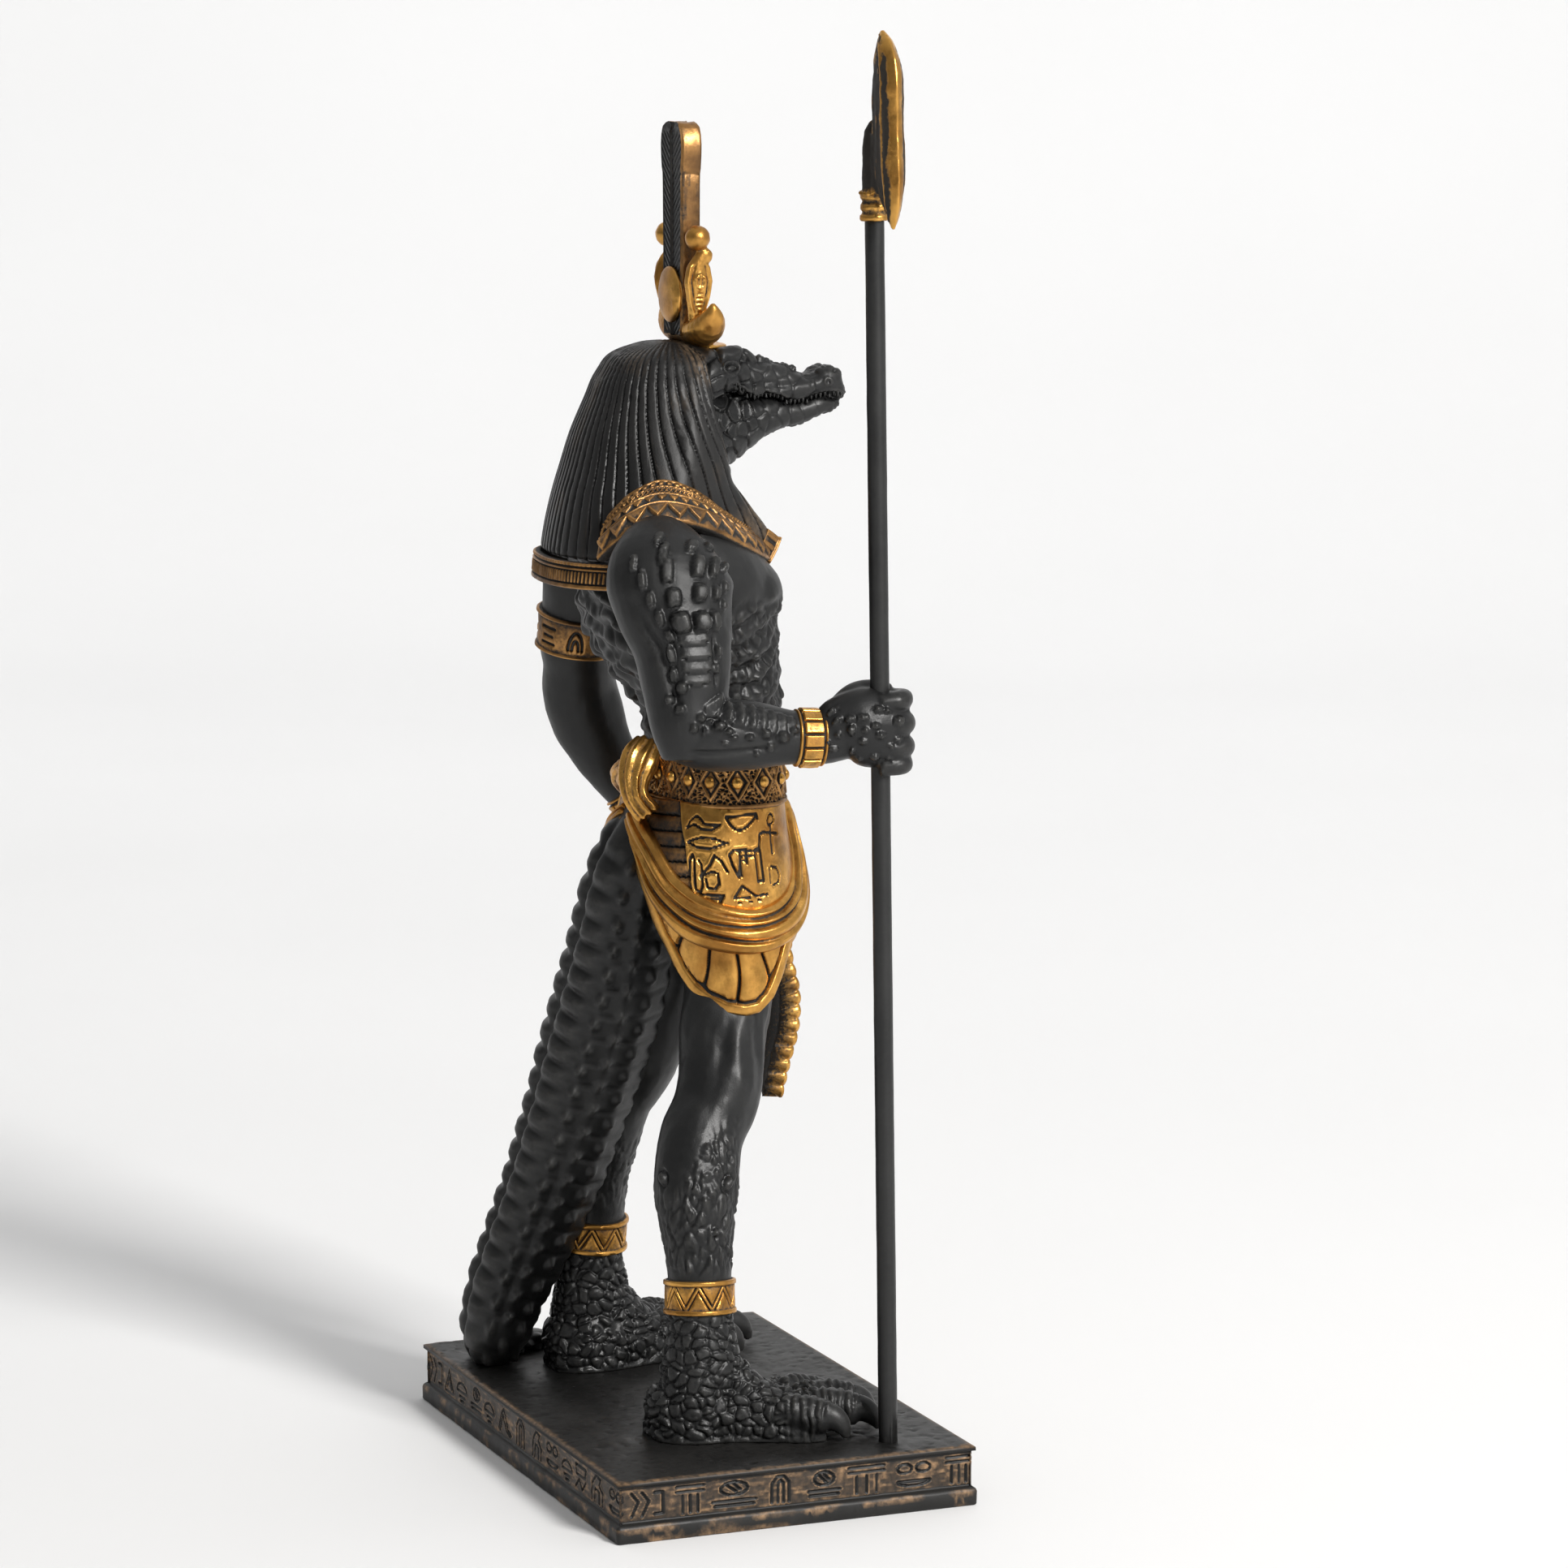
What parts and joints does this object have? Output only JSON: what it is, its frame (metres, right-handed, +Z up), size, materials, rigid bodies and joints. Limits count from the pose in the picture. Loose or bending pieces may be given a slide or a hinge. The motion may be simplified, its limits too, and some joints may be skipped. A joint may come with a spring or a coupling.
{
  "type": "crocodile-headed figurine",
  "caption": "Standing crocodile-headed guard in a pleated wig, broad collar and wrapped kilt, with a heavy tail, plume crown and tall staff, on a rectangular plinth",
  "frame": {"origin": "middle of the plinth's underside", "axes": "+Z up, the figure faces -Y, its right hand and the staff are at -X"},
  "size_m": [0.1257, 0.079, 0.3003],
  "materials": {
    "plinth_resin": "satin black cast resin with bronze rubbed on the edges and the band",
    "figure_resin": "satin charcoal cast resin, the dress and bands in antique gold paint",
    "gold_paint": "antique gold paint over black resin",
    "rod_black": "satin black"
  },
  "bodies": {
    "root": {"plinth": "plinth_resin", "figure": "figure_resin", "crown": "gold_paint", "staff_shaft": "rod_black", "staff_head": "gold_paint"}
  },
  "joints": []
}
